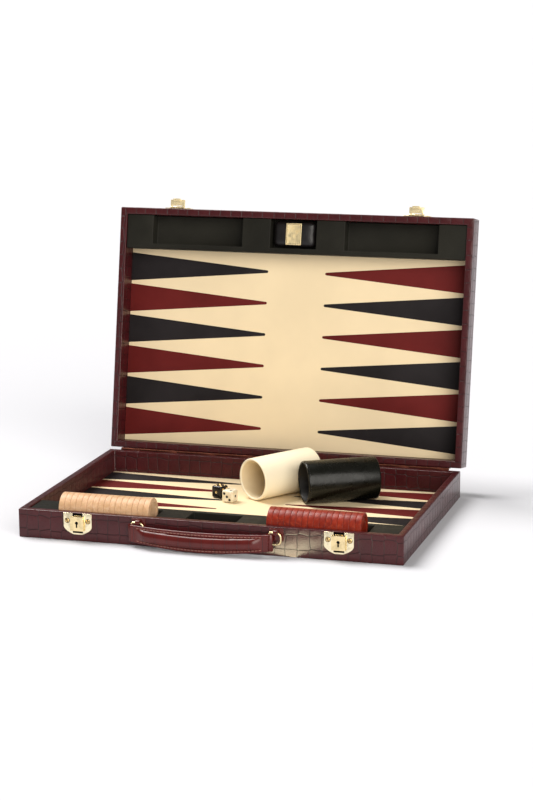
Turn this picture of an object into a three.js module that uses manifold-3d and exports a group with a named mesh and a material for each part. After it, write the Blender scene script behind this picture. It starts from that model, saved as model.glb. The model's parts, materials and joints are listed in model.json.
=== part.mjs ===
// A folding attaché-style backgammon case, standing open on its base, with its playing pieces.
// Millimetres, +Z up, +X to the right, +Y to the back. The origin is the centre of the base's underside.
import * as THREE from "three";
import { mergeVertices } from "three/addons/utils/BufferGeometryUtils.js";
import { RoundedBoxGeometry } from "three/addons/geometries/RoundedBoxGeometry.js";
import Module from "manifold-3d";

const wasm = await Module();
wasm.setup();

// ---- driving dimensions -------------------------------------------------------------------------

const GAP = 0.3; // clearance between pieces that are glued or screwed together
const CASE = { width: 460, depth: 308, wall: 8.5 };
const BASE_HEIGHT = 34;
const LID_HEIGHT = 33.5;
const RIM_GAP = 0.4; // between the two rims when the lid is shut
const BOARD = { thick: 2.2, belowRim: 27 }; // inlaid playing board, and its face below the rim
const LID_OPEN = THREE.MathUtils.degToRad(101);

const HINGE = { y: CASE.depth / 2 + 2.2, z: BASE_HEIGHT + RIM_GAP / 2, length: 430, knuckles: 17 };
const KNUCKLE = { radius: 1.9, bore: 0.85, pin: 0.75, clearance: 0.4 };
const LEAF = { thick: 0.8, height: 11 }; // each leaf lies on the outside of a back wall

const TRAY = { depth: 43, belowRim: 2, troughBelowRim: 19.7, rail: 6.5 };
const TROUGH = { from: 67, to: 186 }; // the two checker troughs, measured from the middle
const CENTRE_RECESS = 30; // half the width of the middle compartment

const CHECKER = { radius: 17.75, thick: 6.7, pitch: 6.9, perColour: 16 };
const CREAM_STACK_FROM = -183.4;
const RED_STACK_FROM = 68;

const CUP = { radius: 26, bore: 23, length: 91, floor: 4 };
const DIE = 15.2;

const LOCK_X = 156; // middle of each lock and hasp
const LOCK_PLATE = { width: 34.6, top: 33.6, shoulder: 17.5, bottom: 8.2, foot: 10, thick: 1.2 };
const LOCK_SLOT = { width: 12.4, bottom: 10.3 };
const LOCK_BODY = { width: 16.2, bottom: 13.3, top: 30.3, thick: 3.2 };
const LOCK_SHANK = { bottom: 13.6, top: 28.2, into: 0.8 };
const LOCK_BOLT = { width: 9, bottom: 28, top: 30.8, front: 0.4, into: 0.7 };
const KEYHOLE = { radius: 1.9, slot: 1.8, drop: 5.4, deep: 2, above: 1 };
const LOCK_POCKET = { width: 13, depth: 4.7, bottom: 9.8, top: 33.2 };

const HASP = { axisAboveRim: 6.6, axisOut: 1.9, arm: 9.8, width: 19, thick: 1.2, barrel: 1.4 };
const HASP_PLATE = { width: 34, height: 13, thick: 1 };
const HASP_PIN = { radius: 0.6, bore: 0.7, knuckle: 12 };

const HANDLE = { middle: -6, loopX: 82, pivotOut: 5.5, pivotZ: 28.8, drop: 11.8, sag: 4.4, bow: 4.5 };
const STRAP = { thick: 3.4, endHeight: 20, out: 3.5 }; // out is how far it lies in front of its loops
const CORE = { halfHeight: 7, halfDepth: 5.2, inset: 18 };
const LOOP = { halfWidth: 4.5, halfDepth: 3, bore: 2, exit: 1.7 };
const RING = { wire: 1.2, width: 13.6, height: 13.6, bend: 5.5, corner: 1.4 };
const TAB = { from: -1.7, to: 15.3, top: 4.2, bottom: -10, thick: 1.5, outer: 3.2, bore: 2.2, roll: [5, 10.2] };

const PAD = { width: 56, depth: 33, height: 14.6, round: 5 };
const PLAQUE = { width: 20, depth: 27, thick: 0.8 };

const FRONT = -CASE.depth / 2;
const INNER_X = CASE.width / 2 - CASE.wall;
const INNER_Y = CASE.depth / 2 - CASE.wall;

// ---- materials ----------------------------------------------------------------------------------

const material = (color, roughness, metalness = 0) =>
  new THREE.MeshStandardMaterial({ color, roughness, metalness });

const CROC_LEATHER = material(0x5a2230, 0.3);
const HANDLE_LEATHER = material(0x6b1d22, 0.25);
const BLACK_LEATHER = material(0x1c1a18, 0.5);
const CREAM_LEATHER = material(0xe6cfa0, 0.55);
const BRASS = material(0xd9b45a, 0.22, 1);
const CREAM_RESIN = material(0xe9c49a, 0.35);
const RED_RESIN = material(0x8c1d12, 0.25);
const IVORY = material(0xf3ead0, 0.3);
const BLACK_RESIN = material(0x14100f, 0.2);

// ---- helpers ------------------------------------------------------------------------------------

function solidOf(geometry) {
  const bare = new THREE.BufferGeometry();
  bare.setAttribute("position", geometry.getAttribute("position"));
  if (geometry.index) bare.setIndex(geometry.index);
  const merged = mergeVertices(bare, 1e-4);
  return new wasm.Manifold(
    new wasm.Mesh({
      numProp: 3,
      vertProperties: new Float32Array(merged.getAttribute("position").array),
      triVerts: new Uint32Array(merged.index.array),
    }),
  );
}

function geometryOf(solid) {
  const mesh = solid.getMesh();
  const geometry = new THREE.BufferGeometry();
  geometry.setAttribute("position", new THREE.BufferAttribute(new Float32Array(mesh.vertProperties), 3));
  geometry.setIndex(new THREE.BufferAttribute(new Uint32Array(mesh.triVerts), 1));
  const faceted = geometry.toNonIndexed();
  faceted.computeVertexNormals();
  return faceted;
}

const join = (...geometries) => geometryOf(geometries.map(solidOf).reduce((a, b) => a.add(b)));

function cut(geometry, ...cutters) {
  return geometryOf(cutters.map(solidOf).reduce((a, b) => a.subtract(b), solidOf(geometry)));
}

const common = (a, b) => geometryOf(solidOf(a).intersect(solidOf(b)));

// A box between two values on each axis.
function box([x0, x1], [y0, y1], [z0, z1]) {
  const geometry = new THREE.BoxGeometry(x1 - x0, y1 - y0, z1 - z0);
  return geometry.translate((x0 + x1) / 2, (y0 + y1) / 2, (z0 + z1) / 2);
}

// A rod along X between two values.
function rodX(radius, [x0, x1], y, z, sides = 12) {
  const geometry = new THREE.CylinderGeometry(radius, radius, x1 - x0, sides);
  return geometry.rotateZ(Math.PI / 2).translate((x0 + x1) / 2, y, z);
}

// An outline drawn in X and Z, given a thickness from its back face at y forward to y - thick.
function plateXZ(outline, y, thick) {
  const geometry = new THREE.ExtrudeGeometry(outline, { depth: thick, bevelEnabled: false, curveSegments: 8 });
  return geometry.rotateX(Math.PI / 2).translate(0, y, 0);
}

// An outline drawn in Y and Z, given a length along X.
function barYZ(outline, [x0, x1]) {
  const geometry = new THREE.ExtrudeGeometry(outline, { depth: x1 - x0, bevelEnabled: false, curveSegments: 6 });
  geometry.rotateY(Math.PI / 2).rotateX(Math.PI / 2);
  return geometry.translate(x0, 0, 0);
}

function put(parent, name, geometry, look) {
  const mesh = new THREE.Mesh(geometry, look);
  mesh.name = name;
  parent.add(mesh);
  return mesh;
}

const SIDES = [
  ["left", -1],
  ["right", 1],
];

// ---- the two halves of the carcass --------------------------------------------------------------

// Where the knuckles of one leaf lie along the hinge. The base has the odd ones, with both ends.
function knuckleSpans(own) {
  const pitch = HINGE.length / HINGE.knuckles;
  return Array.from({ length: HINGE.knuckles }, (_, i) => i)
    .filter((i) => i % 2 === own)
    .map((i) => {
      const from = -HINGE.length / 2 + i * pitch;
      return [from + KNUCKLE.clearance / 2, from + pitch - KNUCKLE.clearance / 2];
    });
}

// A leather-covered wooden half: four mitred walls and a panel, glued up as one piece.
// rimZ is the rim, and up is +1 where the panel lies below the rim and -1 where it lies above.
function halfShell(rimZ, height, up) {
  const panel = height - BOARD.belowRim - BOARD.thick - GAP;
  const far = rimZ - up * height;
  const sort = (a, b) => [Math.min(a, b), Math.max(a, b)];
  const outer = box([-CASE.width / 2, CASE.width / 2], [-CASE.depth / 2, CASE.depth / 2], sort(far, rimZ));
  const hollow = box([-INNER_X, INNER_X], [-INNER_Y, INNER_Y], sort(far + up * panel, rimZ + up));
  return cut(outer, hollow);
}

// The playing board, a flat panel with leather inlays, glued into one half.
function board(rimZ, up) {
  const face = rimZ - up * BOARD.belowRim;
  const back = face - up * BOARD.thick;
  return box(
    [-INNER_X + GAP, INNER_X - GAP],
    [-INNER_Y + GAP, INNER_Y - GAP],
    [Math.min(face, back), Math.max(face, back)],
  );
}

// The black tray along the front wall: a block with two checker troughs and a middle compartment.
function tray(rimZ, up) {
  const front = -INNER_Y + GAP;
  const back = front + TRAY.depth;
  const sort = (a, b) => [Math.min(a, b), Math.max(a, b)];
  const top = rimZ - up * TRAY.belowRim;
  const block = box([-INNER_X + GAP, INNER_X - GAP], [front, back], sort(rimZ - up * (BOARD.belowRim - GAP), top));
  const pocket = (from, to) =>
    box([from, to], [front - 1, back - TRAY.rail], sort(rimZ - up * TRAY.troughBelowRim, top + up));
  return cut(
    block,
    pocket(-TROUGH.to, -TROUGH.from),
    pocket(-CENTRE_RECESS, CENTRE_RECESS),
    pocket(TROUGH.from, TROUGH.to),
  );
}

// One leaf of the long hinge: a strip on the back wall, with its knuckles along the axis. The strip
// stops short of the other leaf's knuckles, and only its own knuckles are joined to it.
function hingeLeaf(up, own) {
  const sort = (a, b) => [Math.min(a, b), Math.max(a, b)];
  const half = HINGE.length / 2;
  const face = [CASE.depth / 2 + GAP, CASE.depth / 2 + GAP + LEAF.thick];
  const edge = HINGE.z - up * (KNUCKLE.radius + GAP);
  const strip = box([-half, half], face, sort(edge, HINGE.z - up * LEAF.height));
  const spans = knuckleSpans(own);
  const tongues = spans.map((span) => box(span, face, sort(HINGE.z, edge - up * 0.5)));
  const barrels = spans.map((span) => rodX(KNUCKLE.radius, span, HINGE.y, HINGE.z));
  const bore = rodX(KNUCKLE.bore, [-half - 1, half + 1], HINGE.y, HINGE.z);
  return cut(join(strip, ...tongues, ...barrels), bore);
}

// ---- locks and hasps ----------------------------------------------------------------------------

function lockPlate() {
  const w = LOCK_PLATE.width / 2;
  const slot = LOCK_SLOT.width / 2;
  const outline = new THREE.Shape();
  outline.moveTo(-w, LOCK_PLATE.top);
  outline.lineTo(-w, LOCK_PLATE.shoulder);
  outline.quadraticCurveTo(-w + 1, LOCK_PLATE.shoulder - 5, -LOCK_PLATE.foot / 2, LOCK_PLATE.bottom);
  outline.lineTo(LOCK_PLATE.foot / 2, LOCK_PLATE.bottom);
  outline.quadraticCurveTo(w - 1, LOCK_PLATE.shoulder - 5, w, LOCK_PLATE.shoulder);
  outline.lineTo(w, LOCK_PLATE.top);
  outline.lineTo(slot, LOCK_PLATE.top);
  outline.lineTo(slot, LOCK_SLOT.bottom);
  outline.lineTo(-slot, LOCK_SLOT.bottom);
  outline.lineTo(-slot, LOCK_PLATE.top);
  outline.closePath();
  return plateXZ(outline, FRONT - GAP, LOCK_PLATE.thick);
}

// The keyed thumb piece. It slides down to free the hasp: its shank runs in the plate's slot,
// and the bolt on top of the shank stands in front of the barb on the hasp's tongue.
function lockSlide() {
  const face = FRONT - GAP - LOCK_PLATE.thick - GAP;
  const w = LOCK_BODY.width / 2;
  const shankW = LOCK_SLOT.width / 2 - GAP;
  const boltW = LOCK_BOLT.width / 2;
  const keyW = KEYHOLE.slot / 2;
  const body = box([-w, w], [face - LOCK_BODY.thick, face], [LOCK_BODY.bottom, LOCK_BODY.top]);
  const shank = box([-shankW, shankW], [face - 1, FRONT + LOCK_SHANK.into], [LOCK_SHANK.bottom, LOCK_SHANK.top]);
  const boltY = [FRONT - LOCK_BOLT.front, FRONT + LOCK_BOLT.into];
  const bolt = box([-boltW, boltW], boltY, [LOCK_BOLT.bottom, LOCK_BOLT.top]);
  const keyZ = (LOCK_BODY.bottom + LOCK_BODY.top) / 2 + KEYHOLE.above;
  const deep = [face - LOCK_BODY.thick - 1, face - LOCK_BODY.thick + KEYHOLE.deep];
  const round = new THREE.CylinderGeometry(KEYHOLE.radius, KEYHOLE.radius, KEYHOLE.deep + 1, 16);
  round.translate(0, (deep[0] + deep[1]) / 2, keyZ);
  const keyhole = join(round, box([-keyW, keyW], deep, [keyZ - KEYHOLE.drop, keyZ]));
  return cut(join(body, shank, bolt), keyhole);
}

// The hasp's plate, screwed to the lid's front wall, with the middle knuckle of its hinge.
function haspPlate(rimZ) {
  const y = FRONT - GAP;
  const axisY = FRONT - HASP.axisOut;
  const axisZ = rimZ + HASP.axisAboveRim;
  const w = HASP_PLATE.width / 2;
  const knuckle = [-HASP_PIN.knuckle / 2, HASP_PIN.knuckle / 2];
  const low = axisZ + HASP.barrel + GAP;
  const plate = new THREE.Shape();
  plate.moveTo(-w, low);
  plate.lineTo(w, low);
  plate.lineTo(w, low + HASP_PLATE.height - 4);
  plate.quadraticCurveTo(w, low + HASP_PLATE.height, w - 4, low + HASP_PLATE.height);
  plate.lineTo(-w + 4, low + HASP_PLATE.height);
  plate.quadraticCurveTo(-w, low + HASP_PLATE.height, -w, low + HASP_PLATE.height - 4);
  plate.closePath();
  const neck = box(knuckle, [y - HASP_PLATE.thick, y], [axisZ, low + 1]);
  const barrel = rodX(HASP.barrel, knuckle, axisY, axisZ);
  const bore = rodX(HASP_PIN.bore, [-20, 20], axisY, axisZ);
  return cut(join(plateXZ(plate, y, HASP_PLATE.thick), neck, barrel), bore);
}

// The swinging arm, drawn hanging straight down as when the case is shut: two legs with their pin,
// a cross plate, and a tongue with a barb that reaches back into the lock. The origin is the pin.
function haspArm() {
  const w = HASP.width / 2;
  const legs = HASP_PIN.knuckle / 2 + GAP;
  const front = -HASP.thick - 0.1;
  const tongueZ = -HASP.arm;
  const pieces = [rodX(HASP_PIN.radius, [-w + 1, w - 1], 0, 0)];
  for (const side of [-1, 1]) {
    const span = side < 0 ? [-w, -legs] : [legs, w];
    pieces.push(rodX(HASP.barrel, span, 0, 0));
    pieces.push(box(span, [front, -0.1], [-3.2, 0]));
  }
  pieces.push(box([-w, w], [front, -0.1], [tongueZ, -2.2]));
  pieces.push(box([-4.8, 4.8], [front, 4.1], [tongueZ, tongueZ + 1.4]));
  pieces.push(box([-4.8, 4.8], [3.1, 4.1], [tongueZ - 1.3, tongueZ + 1]));
  return join(...pieces);
}

// ---- the carrying handle ------------------------------------------------------------------------

// How far along the handle a point is, as 1 in the middle and 0 at the two loops.
const along = (x) => 1 - (x / HANDLE.loopX) ** 2;

// How far in front of the pivot axis the strap's middle lies, as a Y.
const planY = (x) => -STRAP.out - HANDLE.bow * along(x);

// The line that the padded core follows, measured from the middle of the pivot axis.
class CoreLine extends THREE.Curve {
  getPoint(t, target = new THREE.Vector3()) {
    const x = (2 * t - 1) * (HANDLE.loopX - CORE.inset);
    return target.set(x, planY(x), -HANDLE.drop - HANDLE.sag * along(x));
  }
}

// A stitched leather strap, bowed out from the wall and sagging a little, round a padded core,
// with an upright loop behind each end for a ring. It has slid to the left on its rings, so both
// rings reach to the right of their loops. The origin is the middle of the pivot axis.
function handleSolid() {
  const steps = 20;
  const plan = new THREE.Shape();
  const front = new THREE.Shape();
  const xs = Array.from({ length: steps + 1 }, (_, i) => HANDLE.loopX * ((2 * i) / steps - 1));
  const topEdge = (x) => -HANDLE.drop + STRAP.endHeight / 2 - 2.4 * along(x);
  const lowEdge = (x) => -HANDLE.drop - STRAP.endHeight / 2 - 6.3 * along(x);
  xs.forEach((x, i) => {
    plan[i ? "lineTo" : "moveTo"](x, planY(x) - STRAP.thick / 2);
    front[i ? "lineTo" : "moveTo"](x, lowEdge(x));
  });
  xs.reverse().forEach((x) => {
    plan.lineTo(x, planY(x) + STRAP.thick / 2);
    front.lineTo(x, topEdge(x));
  });
  const band = new THREE.ExtrudeGeometry(plan, { depth: 50, bevelEnabled: false }).translate(0, 0, -40);
  const section = new THREE.Shape();
  section.absellipse(0, 0, CORE.halfHeight, CORE.halfDepth, 0, Math.PI * 2);
  const core = new THREE.ExtrudeGeometry(section, {
    steps: 22,
    curveSegments: 7,
    bevelEnabled: false,
    extrudePath: new CoreLine(),
  });
  const pieces = [common(band, plateXZ(front, 20, 40)), core];
  const bores = [];
  for (const [, side] of SIDES) {
    const loop = new THREE.CylinderGeometry(1, 1, STRAP.endHeight, 20).rotateX(Math.PI / 2);
    loop.scale(LOOP.halfWidth, LOOP.halfDepth, 1).translate(side * HANDLE.loopX, 0, -HANDLE.drop);
    pieces.push(loop);
    const bore = new THREE.CylinderGeometry(LOOP.bore, LOOP.bore, 30, 12).rotateX(Math.PI / 2);
    bores.push(bore.translate(side * HANDLE.loopX, 0, -HANDLE.drop));
    const exit = box([0, 14], [-LOOP.exit, LOOP.exit], [-LOOP.bore, LOOP.bore]);
    bores.push(exit.translate(side * HANDLE.loopX, 0, -RING.height));
    const rollSpan = TAB.roll.map((x, i) => side * HANDLE.loopX + x + (i ? GAP : -GAP));
    bores.push(rodX(TAB.outer + GAP, rollSpan, 0, 0, 24));
  }
  return cut(join(...pieces), ...bores);
}

// A D-ring of round wire, its straight side upright in the handle's loop. The origin is on the
// pivot axis, above the straight side.
function ringSolid() {
  const bend = RING.bend;
  const dee = (grow) => {
    const tight = RING.corner + grow;
    const wide = bend + grow;
    const path = new THREE.Path();
    path.absarc(RING.corner, -RING.corner, tight, Math.PI, Math.PI / 2, true);
    path.absarc(RING.width - bend, -bend, wide, Math.PI / 2, 0, true);
    path.absarc(RING.width - bend, bend - RING.height, wide, 0, -Math.PI / 2, true);
    path.absarc(RING.corner, RING.corner - RING.height, tight, -Math.PI / 2, -Math.PI, true);
    const points = path.getPoints(6);
    return points.filter((point, i) => point.distanceTo(points[(i + 1) % points.length]) > 0.01);
  };
  const soft = 0.5;
  const blank = new THREE.ExtrudeGeometry(new THREE.Shape(dee(RING.wire - soft)), {
    depth: 2 * (RING.wire - soft),
    bevelSize: soft,
    bevelThickness: soft,
    bevelSegments: 1,
  });
  const hollow = new THREE.ExtrudeGeometry(new THREE.Shape(dee(-RING.wire)), {
    depth: 4 * RING.wire,
    bevelEnabled: false,
  });
  const ring = cut(blank, hollow.translate(0, 0, -RING.wire));
  return ring.rotateX(Math.PI / 2).translate(0, RING.wire - soft, 0);
}

// The leather tab on the wall: a patch, and the rolled loop that the ring's top bar hangs in.
// The origin is on the pivot axis, above the ring's straight side.
function tabSolid() {
  const wall = HANDLE.pivotOut - GAP;
  const patch = box([TAB.from, TAB.to], [wall - TAB.thick, wall], [TAB.bottom, TAB.top]);
  const neck = box(TAB.roll, [0, wall - TAB.thick / 2], [1.6, 3.2]);
  const barrel = rodX(TAB.outer, TAB.roll, 0, 0, 18);
  const bore = rodX(TAB.bore, [TAB.from - 5, TAB.to + 5], 0, 0, 14);
  return cut(join(patch, neck, barrel), bore);
}

// ---- loose pieces -------------------------------------------------------------------------------

// A dice cup, its axis along X, with its mouth at the origin.
function cupSolid() {
  const profile = [
    [0, CUP.length],
    [CUP.radius, CUP.length],
    [CUP.radius, 0],
    [CUP.bore, 0],
    [CUP.bore, CUP.length - CUP.floor],
    [0, CUP.length - CUP.floor],
  ].map(([radius, l]) => new THREE.Vector2(radius, -l));
  return new THREE.LatheGeometry(profile, 36).rotateZ(Math.PI / 2);
}

// A checker standing on its edge, its axis along X.
const checkerSolid = () =>
  new THREE.CylinderGeometry(CHECKER.radius, CHECKER.radius, CHECKER.thick, 32).rotateZ(Math.PI / 2);

// ---- the base -----------------------------------------------------------------------------------

const group = new THREE.Group();

const lockPockets = SIDES.map(([, side]) => {
  const x = side * LOCK_X;
  const w = LOCK_POCKET.width / 2;
  return box([x - w, x + w], [FRONT - 1, FRONT + LOCK_POCKET.depth], [LOCK_POCKET.bottom, LOCK_POCKET.top]);
});
put(group, "base_shell", cut(halfShell(BASE_HEIGHT, BASE_HEIGHT, 1), ...lockPockets), CROC_LEATHER);
put(group, "base_board", board(BASE_HEIGHT, 1), CREAM_LEATHER);
put(group, "base_tray", tray(BASE_HEIGHT, 1), BLACK_LEATHER);
put(group, "hinge_base_leaf", hingeLeaf(1, 0), BRASS);
const pinSpan = [-HINGE.length / 2, HINGE.length / 2];
put(group, "hinge_pin", rodX(KNUCKLE.pin, pinSpan, HINGE.y, HINGE.z), BRASS);

// ---- the lid ------------------------------------------------------------------------------------

// Everything in the lid is drawn as when the case is shut, and turned open about the hinge.
const lidRim = BASE_HEIGHT + RIM_GAP;
const turned = new THREE.Group();
turned.position.set(0, HINGE.y, HINGE.z);
turned.rotation.x = -LID_OPEN;
group.add(turned);
const lid = new THREE.Group();
lid.position.set(0, -HINGE.y, -HINGE.z);
turned.add(lid);
put(lid, "lid_shell", halfShell(lidRim, LID_HEIGHT, -1), CROC_LEATHER);
put(lid, "lid_board", board(lidRim, -1), CREAM_LEATHER);
put(lid, "lid_tray", tray(lidRim, -1), BLACK_LEATHER);
put(lid, "hinge_lid_leaf", hingeLeaf(-1, 1), BRASS);

// The stuffed pad in the lid's middle compartment, and the blank brass plaque on it.
const padMiddle = GAP - INNER_Y + (TRAY.depth - TRAY.rail) / 2;
const padFloor = lidRim + TRAY.troughBelowRim - GAP;
const pad = new RoundedBoxGeometry(PAD.width, PAD.depth, PAD.height, 2, PAD.round);
put(lid, "lid_pad", pad.translate(0, padMiddle, padFloor - PAD.height / 2), BLACK_LEATHER);
const plaqueBack = padFloor - PAD.height - GAP;
const plaque = box(
  [-PLAQUE.width / 2, PLAQUE.width / 2],
  [padMiddle - PLAQUE.depth / 2, padMiddle + PLAQUE.depth / 2],
  [plaqueBack - PLAQUE.thick, plaqueBack],
);
put(lid, "lid_plaque", plaque, BRASS);

// ---- locks, hasps and handle --------------------------------------------------------------------

for (const [side, sign] of SIDES) {
  const x = sign * LOCK_X;
  put(group, `${side}_lock_plate`, lockPlate(), BRASS).position.x = x;
  put(group, `${side}_lock_slide`, lockSlide(), BRASS).position.x = x;
  put(lid, `${side}_hasp_plate`, haspPlate(lidRim), BRASS).position.x = x;
  const hasp = put(lid, `${side}_hasp`, haspArm(), BRASS);
  hasp.position.set(x, FRONT - HASP.axisOut, lidRim + HASP.axisAboveRim);
  hasp.rotation.x = -Math.PI / 2; // sprung up, square to the wall

  const end = new THREE.Group();
  end.position.set(HANDLE.middle + sign * HANDLE.loopX, FRONT - HANDLE.pivotOut, HANDLE.pivotZ);
  group.add(end);
  put(end, `${side}_handle_tab`, tabSolid(), HANDLE_LEATHER);
  put(end, `${side}_handle_ring`, ringSolid(), BRASS);
}
const handle = put(group, "handle", handleSolid(), HANDLE_LEATHER);
handle.position.set(HANDLE.middle, FRONT - HANDLE.pivotOut, HANDLE.pivotZ);

// ---- the playing pieces -------------------------------------------------------------------------

const boardTop = BASE_HEIGHT - BOARD.belowRim + GAP;
for (const [name, look, x, y, turn] of [
  ["cream_dice_cup", CREAM_RESIN, -6.4, 49.6, 55.8],
  ["black_dice_cup", BLACK_LEATHER, 57.3, 52.5, 31],
]) {
  const cup = put(group, name, cupSolid(), look);
  cup.position.set(x, y, boardTop + CUP.radius);
  cup.rotation.z = THREE.MathUtils.degToRad(turn);
}
for (const [name, look, x, y, turn] of [
  ["cream_die", IVORY, -31.6, 36.5, -12],
  ["black_die", BLACK_RESIN, -49.7, 53.5, -20],
]) {
  const die = put(group, name, new RoundedBoxGeometry(DIE, DIE, DIE, 2, 1.3), look);
  die.position.set(x, y, boardTop + DIE / 2);
  die.rotation.z = THREE.MathUtils.degToRad(turn);
}

const stackZ = BASE_HEIGHT - TRAY.troughBelowRim + GAP + CHECKER.radius;
const stackY = GAP - INNER_Y + (TRAY.depth - TRAY.rail) / 2;
for (const [colour, look, from] of [
  ["cream", CREAM_RESIN, CREAM_STACK_FROM],
  ["red", RED_RESIN, RED_STACK_FROM],
]) {
  for (let i = 0; i < CHECKER.perColour; i += 1) {
    const name = `${colour}_checker_${String(i + 1).padStart(2, "0")}`;
    const checker = put(group, name, checkerSolid(), look);
    checker.position.set(from + CHECKER.pitch * i + CHECKER.thick / 2, stackY, stackZ);
  }
}

export default group;
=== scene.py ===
# The looks of a folding backgammon case. Metres, +Z up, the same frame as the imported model.
import json
import math

import bmesh
import bpy
from mathutils import Matrix, Vector

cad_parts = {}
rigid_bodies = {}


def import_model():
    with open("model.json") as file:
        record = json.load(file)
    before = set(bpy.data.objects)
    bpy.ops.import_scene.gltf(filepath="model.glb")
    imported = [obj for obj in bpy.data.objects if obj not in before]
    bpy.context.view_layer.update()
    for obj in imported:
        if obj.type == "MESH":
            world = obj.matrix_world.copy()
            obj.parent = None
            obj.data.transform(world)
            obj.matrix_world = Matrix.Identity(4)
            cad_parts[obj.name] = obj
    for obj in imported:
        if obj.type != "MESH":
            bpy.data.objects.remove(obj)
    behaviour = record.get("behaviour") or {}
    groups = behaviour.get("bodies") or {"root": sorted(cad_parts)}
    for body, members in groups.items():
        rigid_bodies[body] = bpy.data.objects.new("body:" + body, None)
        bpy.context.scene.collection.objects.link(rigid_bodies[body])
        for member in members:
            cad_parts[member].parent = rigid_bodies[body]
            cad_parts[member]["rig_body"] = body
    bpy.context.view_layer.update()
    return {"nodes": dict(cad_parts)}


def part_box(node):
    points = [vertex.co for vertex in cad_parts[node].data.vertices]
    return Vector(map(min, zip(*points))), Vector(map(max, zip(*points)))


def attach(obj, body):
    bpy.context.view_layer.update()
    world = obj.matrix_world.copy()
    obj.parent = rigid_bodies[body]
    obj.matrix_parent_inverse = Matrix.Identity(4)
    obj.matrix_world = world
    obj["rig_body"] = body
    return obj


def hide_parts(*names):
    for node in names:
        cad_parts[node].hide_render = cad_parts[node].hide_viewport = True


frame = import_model()
scene = bpy.context.scene
MM = 0.001

# ---- sizes, in millimetres; they follow the CAD, with small fits of their own -------------------
WIDTH, DEPTH, WALL = 460, 308, 8.5
INNER_X, INNER_Y = WIDTH / 2 - WALL, DEPTH / 2 - WALL
FRONT, BACK = -DEPTH / 2, DEPTH / 2
BASE_H, LID_H, RIM_GAP = 34, 33.5, 0.4
LID_RIM = BASE_H + RIM_GAP
REST = 0.3  # the air between a piece and what it rests on

BELOW, BOARD_T, BOARD_SEAM = 27, 2.2, 0.35  # BELOW is from a rim down to its board
BOARD_Z = BASE_H - BELOW + REST
POINT_TIP, POINT_HALF, TIP_R = 37.5, 18, 1.7
POINT_SUNK, POINT_PROUD = 0.1, 0.2  # how far a point reaches into its board and above it
ROWS = [120.7 - 40 * i for i in range(6)]

OPEN = math.radians(101)
HINGE_Y, HINGE_Z = BACK + 2.2, BASE_H + RIM_GAP / 2
LEAF_FACE, LEAF_SCREW_Z = BACK + 1, 6.6
HINGE_SCREW_XS = [-195 + 65 * i for i in range(7)]

LOCK_X, KEY_Z, SLIDE_OUT = 156, 22.8, 4.4
LOCK_SCREW = Vector((12.7, 1.5, 24.6))  # across from the lock's middle, out from the wall, up
HASP_SCREW = Vector((12, 1.3, LID_RIM + 14.8))
POCKET_HALF, POCKET_DEEP, POCKET_Z = 6.5, 4.7, (9.8, 33.2)
KEYHOLE_R, KEYHOLE_SLOT, KEYHOLE_DROP, KEYHOLE_DEEP = 1.85, 0.85, 5.3, 0.6
SCREW_SLOT = 0.4  # half the width of a screw's slot

PIVOT = Vector((-6, FRONT - 5.5, 28.8))  # the middle of the handle's swing axis
LOOP_X, DROP, BOW, STRAP_OUT = 82, 11.8, 4.5, 3.5
SAG = 4.15  # 0.25 less than in the CAD
STRAP_HALF, STRAP_SWELL, STRAP_FLAT = 10, 2.1, 1.5
ROLL_HALF, ROLL_DEEP, ROLL_END, ROLL_FADE = 7.0, 6.4, 5, 14
# Radius, half height and flattening of the strap's end loops, from the bore outwards.
LOOP_PROFILE = [(2.05, 9.6, 1), (2.4, 10, 1), (3.7, 10, 2 / 3), (4.5, 9.1, 2 / 3)]
RING_W, RING_BEND, RING_CORNER, WIRE = 13.6, 5.5, 1.4, 1.2
TAB_ROLL_R, TAB_ROLL_FROM, TAB_ROLL_TO = 3.5, 4.7, 10.5
BAR_ROOM_L, BAR_ROOM_Y, BAR_ROOM_Z = 14, 1.7, 2
STITCHES, STITCH_END, STITCH_IN, STITCH_R = 36, 7, 3.0, 0.4

TROUGH_W, RECESS_DEEP, PAD_T = 36.5, 19.7, 14.6
PAD_W, PAD_D, PAD_SUNK, PAD_LOW = 56, 33, 0.5, 0.3

CUP_R, CUP_BORE, CUP_L, CUP_STITCHES = 26, 23, 91, 58
DIE, DIE_ROUND = 15.2, 2.7
PIP_R, PIP_OUT, PIP_STEP = 2.0, 1.1, 3.7
CHECKER_R, CHECKER_T = 17.75, 6.7

# From where things lie in the shut lid to where they lie with the lid open.
LID = (
    Matrix.Translation((0, HINGE_Y * MM, HINGE_Z * MM))
    @ Matrix.Rotation(-OPEN, 4, "X")
    @ Matrix.Translation((0, -HINGE_Y * MM, -HINGE_Z * MM))
)
STILL = Matrix.Identity(4)
BACKWARDS = Matrix.Rotation(math.pi, 4, "Z")
TO_FRONT = Matrix.Rotation(-math.pi / 2, 4, "Z")  # turns +X, a lathe's axis, to face -Y
SIDES = (("left", -1), ("right", 1))


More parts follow.
